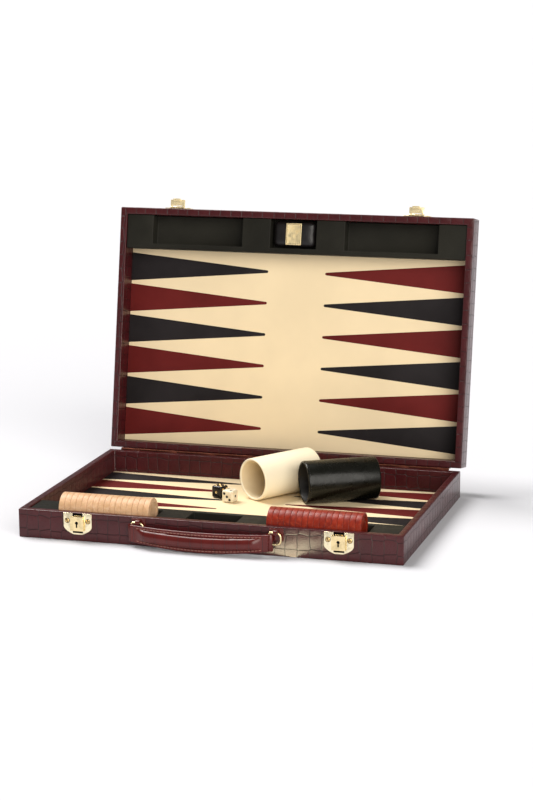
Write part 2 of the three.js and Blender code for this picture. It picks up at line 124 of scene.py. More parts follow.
# ---- materials ----------------------------------------------------------------------------------
class Look:
    """A Principled material with a few short ways to add procedural detail."""

    def __init__(self, name, color, rough, metal=0.0, coat=0.0, coat_rough=0.1, spec=0.5):
        self.mat = bpy.data.materials.new(name)
        self.mat.use_nodes = True
        self.mat.diffuse_color = (*color, 1)
        self.tree = self.mat.node_tree
        self.bsdf = self.tree.nodes["Principled BSDF"]
        self.set("Base Color", (*color, 1))
        self.set("Roughness", rough)
        self.set("Metallic", metal)
        self.set("Coat Weight", coat)
        self.set("Coat Roughness", coat_rough)
        self.set("Specular IOR Level", spec)
        self.normal = None

    def set(self, socket, value):
        self.bsdf.inputs[socket].default_value = value

    def feed(self, socket, value):
        """Gives a socket either another socket to follow or a plain value."""
        if isinstance(value, bpy.types.NodeSocket):
            self.tree.links.new(value, socket)
        else:
            socket.default_value = value

    def node(self, kind, inputs=None, **settings):
        made = self.tree.nodes.new("ShaderNode" + kind)
        for key, value in settings.items():
            setattr(made, key, value)
        for key, value in (inputs or {}).items():
            self.feed(made.inputs[key], value)
        return made

    def coords(self, kind="Object", scale=(1000, 1000, 1000)):
        """Places on the surface; at a scale of 1000 they are in millimetres."""
        source = self.node("TexCoord").outputs[kind]
        return self.node("Mapping", {"Vector": source, "Scale": scale}).outputs[0]

    def noise(self, vector, scale, detail=3, rough=0.5, distort=0.0):
        return self.node("TexNoise", {
            "Vector": vector, "Scale": scale, "Detail": detail, "Roughness": rough, "Distortion": distort,
        }).outputs["Fac"]

    def cells(self, vector, scale, chaos=1.0, feature="DISTANCE_TO_EDGE", flat=False):
        return self.node(
            "TexVoronoi", {"Vector": vector, "Scale": scale, "Randomness": chaos},
            feature=feature, voronoi_dimensions="2D" if flat else "3D",
        ).outputs["Distance"]

    def math(self, operation, a, b):
        return self.node("Math", {0: a, 1: b}, operation=operation).outputs[0]

    def span(self, value, low, high, to_low=0.0, to_high=1.0):
        """Eases a value from one range to another."""
        return self.node("MapRange", {
            "Value": value, "From Min": low, "From Max": high, "To Min": to_low, "To Max": to_high,
        }, interpolation_type="SMOOTHSTEP").outputs["Result"]

    def mix(self, factor, a, b):
        made = self.node("Mix", {"Factor": factor}, data_type="RGBA")
        for name, value in (("A", a), ("B", b)):
            socket = [s for s in made.inputs if s.name == name and s.type == "RGBA"][0]
            self.feed(socket, (*value, 1) if isinstance(value, tuple) else value)
        return [s for s in made.outputs if s.type == "RGBA"][0]

    def warp(self, vector, scale, amount):
        """Moves the coordinates about a little, so that a pattern isn't ruler-straight."""
        wobble = self.node("TexNoise", {"Vector": vector, "Scale": scale, "Detail": 2.0}).outputs["Color"]
        middle = self.node("VectorMath", {0: wobble, 1: (0.5, 0.5, 0.5)}, operation="SUBTRACT")
        scaled = self.node("VectorMath", {0: middle.outputs[0], "Scale": amount}, operation="SCALE")
        return self.node("VectorMath", {0: vector, 1: scaled.outputs[0]}, operation="ADD").outputs[0]

    def bump(self, height, strength, distance):
        """Adds relief on top of the relief so far; distance is in metres."""
        made = self.node("Bump", {"Height": height, "Strength": strength, "Distance": distance})
        if self.normal:
            self.feed(made.inputs["Normal"], self.normal)
        self.normal = made.outputs[0]
        self.feed(self.bsdf.inputs["Normal"], self.normal)

    def color(self, socket):
        self.feed(self.bsdf.inputs["Base Color"], socket)

    def rough(self, socket):
        self.feed(self.bsdf.inputs["Roughness"], socket)


def croc(name, deep, light, kind="UV", size=(14.2, 17.0, 14.2), strength=1.0, rough=(0.26, 0.45)):
    """Glossy leather embossed with rows of uneven square scales, or with creases across X only."""
    look = Look(name, light, 0.3, coat=0.1, coat_rough=0.2, spec=0.36)
    at = look.coords(kind, tuple(1000 / side for side in size))
    at = look.warp(at, 0.55, 0.26)
    at = look.warp(at, 3.2, 0.05)
    if kind == "UV":
        edge = look.cells(at, 1.0, 0.2, flat=True)
    else:
        edge = look.math("PINGPONG", look.node("SeparateXYZ", {"Vector": at}).outputs["X"], 0.5)
    scale = look.span(edge, 0.0, 0.045)
    crown = look.span(edge, 0.0, 0.4)
    fine = look.cells(look.warp(at, 6.0, 0.12), 4.6, 0.9, flat=kind == "UV")
    wrinkle = look.span(fine, 0.0, 0.16)
    grain = look.noise(at, 22.0, 4, 0.6)
    patch = look.noise(at, 0.35, 3, 0.6)
    tone = look.math("MULTIPLY", scale, look.span(patch, 0.3, 0.72, 0.6, 1.0))
    look.color(look.mix(tone, deep, light))
    polish = look.span(scale, 0, 1, rough[1], rough[0])
    look.rough(look.math("ADD", polish, look.span(grain, 0.3, 0.7, 0, 0.08)))
    look.bump(grain, 0.12 * strength, 0.0002)
    look.bump(wrinkle, 0.22 * strength, 0.0002)
    look.bump(crown, 0.28 * strength, 0.0006)
    look.bump(scale, 0.75 * strength, 0.0005)
    return look.mat


def leather(name, color, rough, grain=1.1, strength=0.4, vary=0.25, coat=0.0, spec=0.35):
    """Fine-grained leather; grain is the size of its pebbles in millimetres."""
    look = Look(name, color, rough, coat=coat, coat_rough=0.3, spec=spec)
    at = look.coords()
    pebble = look.cells(look.warp(at, 0.8 / grain, 0.7 * grain), 1 / grain, 1.0, feature="SMOOTH_F1")
    fold = look.noise(at, 0.09, 4, 0.6, 0.6)
    wide = look.noise(at, 0.012, 3, 0.55)
    dark = tuple(c * (1 - vary) for c in color)
    pale = tuple(min(1, c * (1 + vary * 0.55)) for c in color)
    look.color(look.mix(look.span(wide, 0.3, 0.7), dark, pale))
    look.rough(look.span(fold, 0.25, 0.75, rough - 0.06, rough + 0.08))
    look.bump(pebble, strength, 0.0002)
    look.bump(fold, strength * 0.45, 0.0005)
    return look.mat


def brass(name, color=(0.95, 0.76, 0.42), rough=0.13, brushed=0.2, worn=0.72, metal=1.0):
    """Brushed metal with patches of tarnish; worn is how bright the patches stay."""
    look = Look(name, color, rough, metal=metal)
    tarnish = look.noise(look.coords(), 0.16, 4, 0.6)
    scratch = look.noise(look.coords(scale=(300, 300, 4000)), 1.0, 3, 0.6)
    look.color(look.mix(look.span(tarnish, 0.42, 0.78), color, tuple(c * worn for c in color)))
    dull = look.span(tarnish, 0.3, 0.8, rough * 0.7, rough * 1.9)
    look.rough(look.math("ADD", dull, look.span(scratch, 0.3, 0.7, 0, 0.05)))
    look.bump(scratch, brushed * 0.2, 0.0001)
    return look.mat


def marble(name, low, mid, high, rough=0.2):
    """Cast resin with soft swirls."""
    look = Look(name, mid, rough, coat=0.04, coat_rough=0.2, spec=0.3)
    look.set("Subsurface Weight", 0.08)
    look.set("Subsurface Radius", (0.004, 0.002, 0.001))
    at = look.coords()
    swirl = look.noise(look.warp(at, 0.05, 14.0), 0.07, 5, 0.55, 1.6)
    vein = look.noise(look.warp(at, 0.11, 9.0), 0.119, 4, 0.6, 2.5)
    body = look.mix(look.span(swirl, 0.35, 0.68), low, mid)
    look.color(look.mix(look.span(vein, 0.52, 0.72), body, high))
    look.rough(look.span(vein, 0.2, 0.8, rough * 0.8, rough * 1.5))
    look.bump(vein, 0.02, 0.0002)
    return look.mat


CROC = croc("croc_leather", (0.014, 0.0016, 0.0021), (0.064, 0.0080, 0.0100))
HANDLE_CROC = croc(
    "handle_leather", (0.03, 0.002, 0.002), (0.105, 0.010, 0.008), "Object", (14, 40, 40), 0.25, (0.2, 0.27)
)
CREAM = leather("cream_leather", (0.86, 0.70, 0.455), 0.55, 0.9, 0.12, 0.04, spec=0.1)
POINT_BLACK = leather("point_black", (0.021, 0.018, 0.019), 0.55, 0.9, 0.3, 0.25, spec=0.08)
POINT_RED = leather("point_burgundy", (0.130, 0.015, 0.014), 0.55, 0.9, 0.3, 0.2, spec=0.08)
TRAY = leather("tray_leather", (0.018, 0.017, 0.013), 0.5, 1.2, 0.5, 0.3, spec=0.1)
PAD_LEATHER = leather("pad_leather", (0.012, 0.010, 0.010), 0.36, 1.4, 0.6, 0.3)
CUP_BLACK = leather("cup_black", (0.004, 0.004, 0.002), 0.27, 0.8, 0.06, 0.3, spec=0.25)
CUP_CREAM = leather("cup_cream", (0.90, 0.80, 0.60), 0.42, 0.8, 0.1, 0.03, coat=0.1)
CUP_LINING = leather("cup_lining", (0.74, 0.61, 0.40), 0.62, 0.6, 0.2, 0.08)
DARK_LINING = leather("dark_lining", (0.010, 0.009, 0.009), 0.55, 0.7, 0.3, 0.2)
BRASS = brass("brass")
LOCK_BRASS = brass("lock_brass", (1.0, 0.88, 0.60), 0.14)
SCREW_BRASS = brass("screw_brass", (0.78, 0.55, 0.24), 0.24, 0.5)
# Near-black brass: painted shade round and inside the screw heads, and in the plaque's groove.
SHADE_BRASS = brass("shade_brass", (0.10, 0.06, 0.03), 0.45, 0.5)
HINGE_BRONZE = brass("hinge_bronze", (0.11, 0.035, 0.022), 0.4, 0.5)
PLAQUE = brass("plaque_brass", (0.92, 0.76, 0.44), 0.46, worn=0.9, metal=0.8)
HASP_BRASS = brass("hasp_brass", (1.0, 0.84, 0.5), 0.22, metal=0.55)
CREAM_RESIN = marble("cream_resin", (0.54, 0.32, 0.17), (0.64, 0.40, 0.23), (0.70, 0.47, 0.30), 0.42)
RED_RESIN = marble("red_resin", (0.17, 0.011, 0.004), (0.26, 0.020, 0.005), (0.33, 0.036, 0.008), 0.34)
IVORY = marble("ivory", (0.70, 0.60, 0.42), (0.82, 0.75, 0.58), (0.88, 0.82, 0.68), 0.2)
BLACK_RESIN = marble("black_resin", (0.006, 0.005, 0.005), (0.012, 0.010, 0.009), (0.02, 0.017, 0.015), 0.14)
THREAD = leather("thread", (0.36, 0.16, 0.12), 0.4, 0.4, 0.4, 0.2)
# Near-black leather: painted shade inside the lock pockets and the keyholes.
POCKET_KEYHOLE_SHADE = leather("pocket_and_keyhole_shade", (0.004, 0.003, 0.003), 0.7, 0.5, 0.05, 0.1, spec=0.1)
DARK_THREAD = leather("dark_thread", (0.03, 0.028, 0.027), 0.5, 0.4, 0.4, 0.2)
PIP_INK = leather("pip_black", (0.008, 0.007, 0.007), 0.3, 0.5, 0.05, 0.1)
PIP_GOLD = brass("pip_gold", (0.75, 0.55, 0.25), 0.35)


# ---- mesh helpers -------------------------------------------------------------------------------
def soften(bm, width, segments=3, degrees=32):
    """Rounds the edges that are sharper than an angle, by a width in metres."""
    limit = math.radians(degrees)
    sharp = [e for e in bm.edges if len(e.link_faces) == 2 and e.calc_face_angle(0) > limit]
    bmesh.ops.bevel(
        bm, geom=sharp, offset=width, segments=segments, profile=0.5, affect="EDGES", clamp_overlap=True
    )


def lay_uv(bm):
    """Lays each face flat by the way it looks, in metres, so a pattern keeps its size on every side."""
    side_shift, top_shift = 0.4, 0.9
    layer = bm.loops.layers.uv.verify()
    for face in bm.faces:
        n = [abs(v) for v in face.normal]
        for loop in face.loops:
            x, y, z = loop.vert.co
            if n[1] >= max(n[0], n[2]):
                loop[layer].uv = (x, z)
            elif n[0] >= n[2]:
                loop[layer].uv = (y + side_shift, z)
            else:
                loop[layer].uv = (x + top_shift, y) if n[1] < 0.5 else (y, x + top_shift)


def shade(mesh, angle):
    """Smooth shading, with edges over an angle in degrees kept sharp."""
    mesh.shade_smooth()
    mesh.set_sharp_from_angle(angle=math.radians(angle))


def make(name, bm, looks, body, place=STILL, angle=40):
    """Turns a bmesh in its own place into a piece that rides on a body."""
    bm.transform(place)
    bmesh.ops.recalc_face_normals(bm, faces=bm.faces)
    mesh = bpy.data.meshes.new(name)
    bm.to_mesh(mesh)
    bm.free()
    for look in looks if isinstance(looks, (list, tuple)) else [looks]:
        mesh.materials.append(look)
    shade(mesh, angle)
    piece = bpy.data.objects.new(name, mesh)
    scene.collection.objects.link(piece)
    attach(piece, body)
    return piece


def about(middle, half):
    """The two ends of a stretch, from its middle."""
    return (middle - half, middle + half)


def box_bm(x, y, z, round_by=0.0, segments=3):
    """A box between two values in millimetres on each axis, its edges rounded."""
    bm = bmesh.new()
    bmesh.ops.create_cube(bm, size=1)
    for v in bm.verts:
        v.co = Vector([(lo + hi) / 2 + c * (hi - lo) for c, (lo, hi) in zip(v.co, (x, y, z))]) * MM
    if round_by:
        soften(bm, round_by * MM, segments)
    return bm


def turns(count):
    """Angles evenly round a circle."""
    return [2 * math.pi * k / count for k in range(count)]


def lathe(profile, steps=64):
    """Turns a profile of (distance along X, radius) in millimetres about the X axis."""
    bm = bmesh.new()
    rings = []
    for along_axis, radius in profile:
        spots = [(math.cos(a), math.sin(a)) for a in turns(steps)] if radius > 1e-6 else [(0, 0)]
        rings.append([
            bm.verts.new((along_axis * MM, radius * MM * c, radius * MM * s)) for c, s in spots
        ])
    for one, two in zip(rings, rings[1:]):
        for i in range(steps):
            j = (i + 1) % steps
            corners = [one[i % len(one)], one[j % len(one)], two[j % len(two)], two[i % len(two)]]
            face = list(dict.fromkeys(corners))
            if len(face) > 2:
                bm.faces.new(face)
    return bm


def sweep(sections, cap=True, loop=False):
    """Skins a list of rings of points, in metres."""
    bm = bmesh.new()
    rings = [[bm.verts.new(p) for p in ring] for ring in sections]
    count = len(rings[0])
    pairs = list(zip(rings, rings[1:])) + ([(rings[-1], rings[0])] if loop else [])
    for one, two in pairs:
        for i in range(count):
            j = (i + 1) % count
            bm.faces.new((one[i], one[j], two[j], two[i]))
    if cap and not loop:
        bm.faces.new(rings[0][::-1])
        bm.faces.new(rings[-1])
    return bm


def wire(points, radius, sides, loop=False):
    """A round wire along points in millimetres."""
    pts = [Vector(p) * MM for p in points]
    n = len(pts)
    rings = []
    for i, p in enumerate(pts):
        before = pts[(i - 1) % n] if loop or i else p
        after = pts[(i + 1) % n] if loop or i < n - 1 else p
        way = (after - before).normalized()
        side = way.cross(Vector((0, 1, 0)))
        if side.length < 0.1:
            side = way.cross(Vector((1, 0, 0)))
        side.normalize()
        lift = side.cross(way)
        rings.append([p + (side * math.cos(a) + lift * math.sin(a)) * radius * MM for a in turns(sides)])
    return sweep(rings, loop=loop)


def absorb(bm, other, place=STILL, look=0):
    """Adds another bmesh to this one, moved into place and with its own material index."""
    other.transform(place)
    for face in other.faces:
        face.material_index = look
    mesh = bpy.data.meshes.new("part")
    other.to_mesh(mesh)
    other.free()
    bm.from_mesh(mesh)
    bpy.data.meshes.remove(mesh)


def carve(piece, cutters):
    """Takes bmeshes out of a piece with an exact boolean."""
    joined = bmesh.new()
    for cutter in cutters:
        absorb(joined, cutter)
    mesh = bpy.data.meshes.new("cutter")
    joined.to_mesh(mesh)
    joined.free()
    tool = bpy.data.objects.new("cutter", mesh)
    scene.collection.objects.link(tool)
    modifier = piece.modifiers.new("cut", "BOOLEAN")
    modifier.operation = "DIFFERENCE"
    modifier.solver = "EXACT"
    modifier.object = tool
    bpy.context.view_layer.update()
    result = bpy.data.meshes.new_from_object(piece.evaluated_get(bpy.context.evaluated_depsgraph_get()))
    piece.modifiers.clear()
    old = piece.data
    piece.data = result
    result.name = old.name
    bpy.data.meshes.remove(old)
    bpy.data.objects.remove(tool)
    bpy.data.meshes.remove(mesh)


def stand_for(node):
    """Hides a CAD node, for a piece that stands in its place."""
    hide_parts(node)


def refine(node, name, look, width, segments=2, degrees=32, frame_by=0.0):
    """A copy of a CAD node with clean flat faces and rounded edges, which stands for the node.

    frame_by sinks the largest faces inside a raised border of that width, in millimetres, with a thin groove
    round them painted near-black as painted shade."""
    source = frame["nodes"][node]
    bm = bmesh.new()
    bm.from_mesh(source.data)
    bmesh.ops.remove_doubles(bm, verts=bm.verts, dist=1e-6)
    bmesh.ops.dissolve_limit(bm, angle_limit=math.radians(0.6), verts=bm.verts, edges=bm.edges)
    for face in bm.faces:
        face.material_index = 0
    if frame_by:
        widest = max(face.calc_area() for face in bm.faces)
        panels = [face for face in bm.faces if face.calc_area() > 0.9 * widest]
        bmesh.ops.inset_individual(bm, faces=panels, thickness=frame_by * MM)
        # The groove gets the near-black brass: painted shade in the groove.
        groove = bmesh.ops.inset_individual(bm, faces=panels, thickness=0.6 * MM, depth=-0.2 * MM)
        for face in groove["faces"]:
            face.material_index = 1
    soften(bm, width * MM, segments, degrees)
    piece = make(name, bm, [look, SHADE_BRASS] if frame_by else look, source["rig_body"])
    stand_for(node)


def dress(node, look):
    """Gives a CAD node a material of its own, without touching its mesh."""
    for slot in frame["nodes"][node].material_slots:
        slot.link = "OBJECT"
        slot.material = look


# ---- the carcass --------------------------------------------------------------------------------
def cut_lock_pockets(piece):
    """Sinks a pocket behind each lock plate, its faces painted near-black as painted shade."""
    near = 0.1  # faces this close round the pocket count as its own
    carve(piece, [
        box_bm(about(x, POCKET_HALF), (FRONT - 3, FRONT + POCKET_DEEP), POCKET_Z)
        for x in (-LOCK_X, LOCK_X)
    ])
    piece.data.materials.append(POCKET_KEYHOLE_SHADE)
    for face in piece.data.polygons:
        x, y, z = face.center / MM
        inside = (
            abs(abs(x) - LOCK_X) < POCKET_HALF + near
            and FRONT + near / 2 < y < FRONT + POCKET_DEEP + near
            and POCKET_Z[0] - near < z < POCKET_Z[1] + near
        )
        face.material_index = 1 if inside else 0


def shell(name, node, rim, up, height, body, place):
    """Four walls and a panel under one skin of leather, with softly rounded edges."""
    far = rim - up * height
    floor = far + up * (height - BELOW - BOARD_T - REST)
    corners = ((-1, -1), (1, -1), (1, 1), (-1, 1))
    bm = bmesh.new()
    levels = [
        [bm.verts.new((sx * x * MM, sy * y * MM, z * MM)) for sx, sy in corners]
        for x, y, z in (
            (WIDTH / 2, DEPTH / 2, far), (WIDTH / 2, DEPTH / 2, rim),
            (INNER_X, INNER_Y, rim), (INNER_X, INNER_Y, floor),
        )
    ]
    bm.faces.new(levels[0])
    bm.faces.new(levels[3])
    for one, two in zip(levels, levels[1:]):
        for i in range(4):
            j = (i + 1) % 4
            bm.faces.new((one[i], one[j], two[j], two[i]))
    bmesh.ops.recalc_face_normals(bm, faces=bm.faces)
    soften(bm, 1.3 * MM, 4)
    lay_uv(bm)
    piece = make(name, bm, CROC, body)
    if node == "base_shell":
        cut_lock_pockets(piece)
    piece.data.transform(place)
    shade(piece.data, 40)
    stand_for(node)


shell("base_case", "base_shell", BASE_H, 1, BASE_H, "case_base", STILL)
shell("lid_case", "lid_shell", LID_RIM, -1, LID_H, "lid", LID)


def point_outline(x_wall, x_tip, y, half):
    """A long triangle with a rounded tip, in millimetres."""
    side = 1 if x_tip > x_wall else -1
    length = abs(x_tip - x_wall)
    lean = math.atan2(half - TIP_R, length - TIP_R)
    arc = [
        (x_tip - side * TIP_R + side * TIP_R * math.cos(a), y + TIP_R * math.sin(a))
        for a in (math.pi / 2 - lean - (math.pi - 2 * lean) * k / 8 for k in range(9))
    ]
    return [(x_wall, y + half), *arc, (x_wall, y - half)]


def point_bm(side, row, face, up):
    """One inlaid point, a little proud of the board's face."""
    bm = bmesh.new()
    outline = point_outline(side * (INNER_X - REST), side * POINT_TIP, row, POINT_HALF)
    low = [bm.verts.new((x * MM, y * MM, (face - up * POINT_SUNK) * MM)) for x, y in outline]
    grown = bmesh.ops.extrude_face_region(bm, geom=[bm.faces.new(low)])
    for v in grown["geom"]:
        if isinstance(v, bmesh.types.BMVert):
            v.co.z = (face + up * POINT_PROUD) * MM
    bmesh.ops.recalc_face_normals(bm, faces=bm.faces)
    soften(bm, 0.12 * MM, 2, 50)
    return bm


def board(name, node, face, up, rows, body, place):
    """A cream leather board with inlaid points; rows are the points' middles in Y."""
    x, y = INNER_X - BOARD_SEAM, INNER_Y - BOARD_SEAM
    heights = sorted((face, face - up * BOARD_T))
    panel = make(name, box_bm(about(0, x), about(0, y), heights, 0.4), CREAM, body, place)
    stand_for(node)
    colours = {"black": bmesh.new(), "burgundy": bmesh.new()}
    for side in (-1, 1):
        for i, row in enumerate(rows):
            colour = "black" if (i % 2 == 0) == (side < 0) else "burgundy"
            absorb(colours[colour], point_bm(side, row, face, up))
    for colour, bm in colours.items():
        look, slot = (POINT_BLACK, "black_leather") if colour == "black" else (POINT_RED, "handle_leather")
        make(f"{name}_{colour}_points", bm, look, body, place)


board("base_field", "base_board", BASE_H - BELOW, 1, ROWS, "case_base", STILL)
board("lid_field", "lid_board", LID_RIM + BELOW, -1, ROWS[::-1], "lid", LID)

refine("base_tray", "base_tray_leather", TRAY, 1.2, 4)
refine("lid_tray", "lid_tray_leather", TRAY, 1.2, 4)

# ---- the hinge ----------------------------------------------------------------------------------
for node in ("hinge_base_leaf", "hinge_lid_leaf"):
    refine(node, node + "_bronze", HINGE_BRONZE, 0.15, 1, 50)
dress("hinge_pin", HINGE_BRONZE)


def screw_bm(radius, height, turn):
    """A domed screw head, its flat side at the origin, facing -Y, with a slot."""
    dome = [(height * math.cos(a), radius * math.sin(a)) for a in (math.pi / 2 * k / 7 for k in range(8))]
    bm = lathe([(-0.3, 0), (-0.3, radius), *reversed(dome)], 28)
    bmesh.ops.recalc_face_normals(bm, faces=bm.faces)
    head = bpy.data.objects.new("head", bpy.data.meshes.new("head"))
    bm.to_mesh(head.data)
    bm.free()
    scene.collection.objects.link(head)
    slot = box_bm((height * 0.35, height + 1), about(0, SCREW_SLOT), about(0, radius + 1))
    slot.transform(Matrix.Rotation(turn, 4, "X"))
    carve(head, [slot])
    out = bmesh.new()
    out.from_mesh(head.data)
    bpy.data.objects.remove(head)
    out.transform(TO_FRONT)
    return out


def screws(name, spots, radius, height, body, place=STILL, face=STILL):
    """Screw heads at a list of places in millimetres, all in one piece, each with a dark ring of painted
    shade round it and painted shade in its slot.
    """
    bm = bmesh.new()
    for k, spot in enumerate(spots):
        turn = 0.5 + 1.3 * k
        at = Matrix.Translation(Vector(spot) * MM) @ face
        absorb(bm, screw_bm(radius, height, turn), at)
        # A dark ring under the head: painted shade round the screw.
        shade_ring = lathe([(-0.2, 0), (-0.2, radius + 0.5), (0.05, radius + 0.42), (0.05, 0)], 28)
        absorb(bm, shade_ring, at @ TO_FRONT, 1)
        # A dark block at the bottom of the slot: painted shade in the slot.
        slot_shade = box_bm((height * 0.2, height * 0.4), about(0, SCREW_SLOT), about(0, radius * 0.9))
        absorb(bm, slot_shade, at @ TO_FRONT @ Matrix.Rotation(turn, 4, "X"), 1)
    make(name, bm, [SCREW_BRASS, SHADE_BRASS], body, place)


for half, way, body, place in (("base", -1, "case_base", STILL), ("lid", 1, "lid", LID)):
    spots = [(x, LEAF_FACE, HINGE_Z + way * LEAF_SCREW_Z) for x in HINGE_SCREW_XS]
    screws(f"hinge_{half}_screws", spots, 1.7, 0.45, body, place, BACKWARDS)


# ---- locks and hasps ----------------------------------------------------------------------------
def pair(x, offset):
    """Two screws' places, either side of x on the front wall."""
    return [(x + way * offset.x, FRONT - offset.y, offset.z) for way in (-1, 1)]


for side, sign in SIDES:
    x = sign * LOCK_X
    refine(f"{side}_lock_plate", f"{side}_lock_plate_brass", LOCK_BRASS, 0.3, 3)
    refine(f"{side}_lock_slide", f"{side}_lock_slide_brass", BRASS, 0.35, 3)
    refine(f"{side}_hasp_plate", f"{side}_hasp_plate_brass", HASP_BRASS, 0.25, 2)
    refine(f"{side}_hasp", f"{side}_hasp_brass", HASP_BRASS, 0.3, 2)
    screws(f"{side}_lock_screws", pair(x, LOCK_SCREW), 2.7, 1.0, "case_base")
    # A near-black plug sunk behind the keyhole: painted shade inside the keyhole.
    shade_plug = lathe([(-KEYHOLE_DEEP, 0), (-KEYHOLE_DEEP, KEYHOLE_R), (0, KEYHOLE_R), (0, 0)], 24)
    shade_plug.transform(TO_FRONT)
    absorb(shade_plug, box_bm(about(0, KEYHOLE_SLOT), (0.02, KEYHOLE_DEEP), (-KEYHOLE_DROP, 0)))
    place = Matrix.Translation(Vector((x, FRONT - SLIDE_OUT, KEY_Z)) * MM)
    make(f"{side}_lock_core", shade_plug, POCKET_KEYHOLE_SHADE, f"{side}_lock_slide", place)
    screws(f"{side}_hasp_screws", pair(x, HASP_SCREW), 2.1, 0.8, "lid", LID)


# ---- the handle ---------------------------------------------------------------------------------
def along(x):
    """1 at the middle of the strap, 0 at its ends."""
    return 1 - (x / LOOP_X) ** 2


def ease(t):
    t = min(1, max(0, t))
    return t * t * (3 - 2 * t)


def strap_middle(x):
    """The strap's middle line, which sags and bows out between its ends."""
    return PIVOT + Vector((x, -STRAP_OUT - BOW * along(x), -DROP - SAG * along(x)))


def strap_half(x):
    return STRAP_HALF + STRAP_SWELL * along(x)


def strap_section(x):
    """The strap's outline at x: two flat stitched edges and a padded roll between them."""
    half_h = strap_half(x)
    fat = ease((LOOP_X - ROLL_END - abs(x)) / ROLL_FADE)

    def depth(v):
        bulge = max(0, 1 - (v / ROLL_HALF) ** 2) ** 0.55 * (ROLL_DEEP - STRAP_FLAT) * fat
        crease = 0.35 * math.exp(-(((abs(v) - ROLL_HALF - 0.2) / 0.5) ** 2)) * fat
        edge = min(1, max(0.0, (abs(v) - (half_h - STRAP_FLAT)) / STRAP_FLAT))
        return max((STRAP_FLAT + bulge - crease) * math.sqrt(1 - edge ** 2), 0.05)

    steps = 40
    vs = [half_h * (1 - 2 * k / steps) for k in range(steps + 1)]
    front = [strap_middle(x) + Vector((0, -depth(v), v)) for v in vs]
    back = [strap_middle(x) + Vector((0, depth(v), v)) for v in reversed(vs)]
    return [p * MM for p in front + back]


def end_loop(sign):
    """The rolled leather at one end of the strap, round the ring."""
    profile = [(r, -h, squash) for r, h, squash in LOOP_PROFILE]
    profile += [(r, h, squash) for r, h, squash in reversed(LOOP_PROFILE)]
    return sweep([
        [
            (PIVOT + Vector((sign * LOOP_X + r * math.cos(a), r * squash * math.sin(a), h - DROP))) * MM
            for a in turns(32)
        ]
        for r, h, squash in profile
    ], loop=True)


def handle_cuts(sign):
    """Room in the strap for the ring's lower bar and for the rolled tab."""
    x = PIVOT.x + sign * LOOP_X
    y, bar_z = PIVOT.y, PIVOT.z - RING_W
    bar = box_bm((x, x + BAR_ROOM_L), about(y, BAR_ROOM_Y), about(bar_z, BAR_ROOM_Z))
    ends = (TAB_ROLL_FROM, 0), (TAB_ROLL_FROM, TAB_ROLL_R), (TAB_ROLL_TO, TAB_ROLL_R), (TAB_ROLL_TO, 0)
    roll = lathe(ends, 40)
    roll.transform(Matrix.Translation(Vector((x, y, PIVOT.z)) * MM))
    return [bar, roll]


STRAP_STEPS = 90
strap = sweep([strap_section(-LOOP_X + 2 * LOOP_X * k / STRAP_STEPS) for k in range(STRAP_STEPS + 1)])
for sign in (-1, 1):
    absorb(strap, end_loop(sign))
handle = make("handle_strap", strap, HANDLE_CROC, "handle", angle=50)
carve(handle, handle_cuts(-1) + handle_cuts(1))
shade(handle.data, 50)
stand_for("handle")

stitches = bmesh.new()
row_start, row_length = -LOOP_X + STITCH_END, 2 * (LOOP_X - STITCH_END)
for edge in (-1, 1):
    for face in (-1, 1):
        for k in range(STITCHES):
            path = []
            # Each stitch dips into the leather at both ends and stands proud in the middle.
            for share, out in ((0.12, 1.45), (0.45, 1.73), (0.78, 1.45)):
                x = row_start + row_length * (k + share) / STITCHES
                v = edge * (strap_half(x) - STITCH_IN)
                path.append(strap_middle(x) + Vector((0, face * out, v)))
            absorb(stitches, wire(path, STITCH_R, 6))
make("handle_stitches", stitches, THREAD, "handle", angle=60)


def dee(sign):
    """The D-ring's middle line, from the pivot axis, in millimetres."""
    spots = []
    for cx, cz, r, start in (
        (RING_CORNER, -RING_CORNER, RING_CORNER, 180),
        (RING_W - RING_BEND, -RING_BEND, RING_BEND, 90),
        (RING_W - RING_BEND, RING_BEND - RING_W, RING_BEND, 0),
        (RING_CORNER, RING_CORNER - RING_W, RING_CORNER, -90),
    ):
        for k in range(9):
            a = math.radians(start - 90 * k / 8)
            spots.append(PIVOT + Vector((sign * LOOP_X + cx + r * math.cos(a), 0, cz + r * math.sin(a))))
    return spots


for side, sign in SIDES:
    ring = make(f"{side}_dee_ring", wire(dee(sign), WIRE, 14, loop=True), BRASS, "handle", angle=60)
    stand_for(f"{side}_handle_ring")
    refine(f"{side}_handle_tab", f"{side}_handle_chape", HANDLE_CROC, 0.6, 3)


# ---- the pad and its plaque ---------------------------------------------------------------------
def pillow(width, depth, low, high):
    """A stuffed pad, crowned, its sides drawn in between the corners. low is the face that rests."""
    steps, sides, power = 28, 72, 0.34
    rings = []
    for k in range(steps + 1):
        t = math.pi * k / steps
        spread = math.sin(t) ** 0.42 if 0 < k < steps else 0.0
        ring = []
        for a in turns(sides):
            c, s = math.cos(a), math.sin(a)
            u = math.copysign(abs(c) ** power, c)
            v = math.copysign(abs(s) ** power, s)
            pull = 1 - 0.05 * (1 - abs(u * v))
            ripple = 0.18 * math.sin(9 * a) * spread * (1 - spread * 0.4)
            ring.append(Vector((
                u * (width / 2 * pull * spread + ripple * 0.5),
                v * (depth / 2 * pull * spread + ripple * 0.5),
                low + (high - low) * (0.5 - math.cos(t) * 0.5),
            )) * MM)
        rings.append(ring)
    bm = sweep(rings, cap=False)
    bmesh.ops.remove_doubles(bm, verts=bm.verts, dist=1e-6)
    return bm


pad_y = REST - INNER_Y + TROUGH_W / 2
pad_low = LID_RIM + RECESS_DEEP - PAD_LOW
pad_bm = pillow(PAD_W, PAD_D, pad_low, pad_low - PAD_T + PAD_SUNK)
pad = make("lid_cushion", pad_bm, PAD_LEATHER, "lid", LID @ Matrix.Translation((0, pad_y * MM, 0)), angle=80)
stand_for("lid_pad")
refine("lid_plaque", "lid_plaque_plate", PLAQUE, 0.25, 2, frame_by=1.5)


